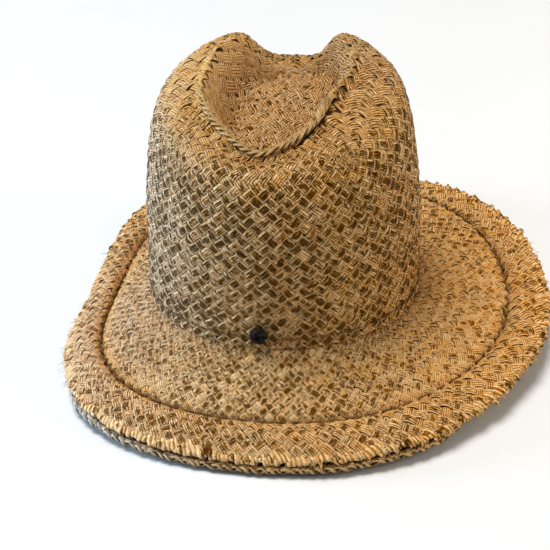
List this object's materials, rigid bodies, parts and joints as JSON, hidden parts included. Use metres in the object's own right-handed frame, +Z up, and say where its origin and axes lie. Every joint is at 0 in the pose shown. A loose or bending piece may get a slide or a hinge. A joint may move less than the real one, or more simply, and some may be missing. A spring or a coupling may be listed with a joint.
{
  "type": "straw hat",
  "caption": "Plaited palm-straw hat with a tall dented crown, a shaped double brim with a sewn groove, a braided edge and a cloth sweatband; worn on the head for shade.",
  "frame": {"origin": "middle of the head opening, on the head line", "axes": "+Z up along the crown, -Y to the front of the hat, +X to the wearer's left"},
  "size_m": [0.3133, 0.3522, 0.1812],
  "materials": {
    "crown_straw": "stained plaited palm straw",
    "brim_straw": "plaited palm straw",
    "under_straw": "weathered plaited palm straw",
    "thread": "waxed sewing thread",
    "cotton": "ribbed cotton band",
    "black_cord": "knotted cord"
  },
  "bodies": {
    "root": {"crown": "crown_straw", "brim_top_ply": "brim_straw", "brim_under_ply": "under_straw", "edge_braid": "under_straw", "crown_stitches": "thread", "groove_stitches": "thread", "sweatband": "cotton", "sweatband_stitches": "thread", "sweatband_join": "cotton", "front_knot": "black_cord"}
  },
  "joints": []
}
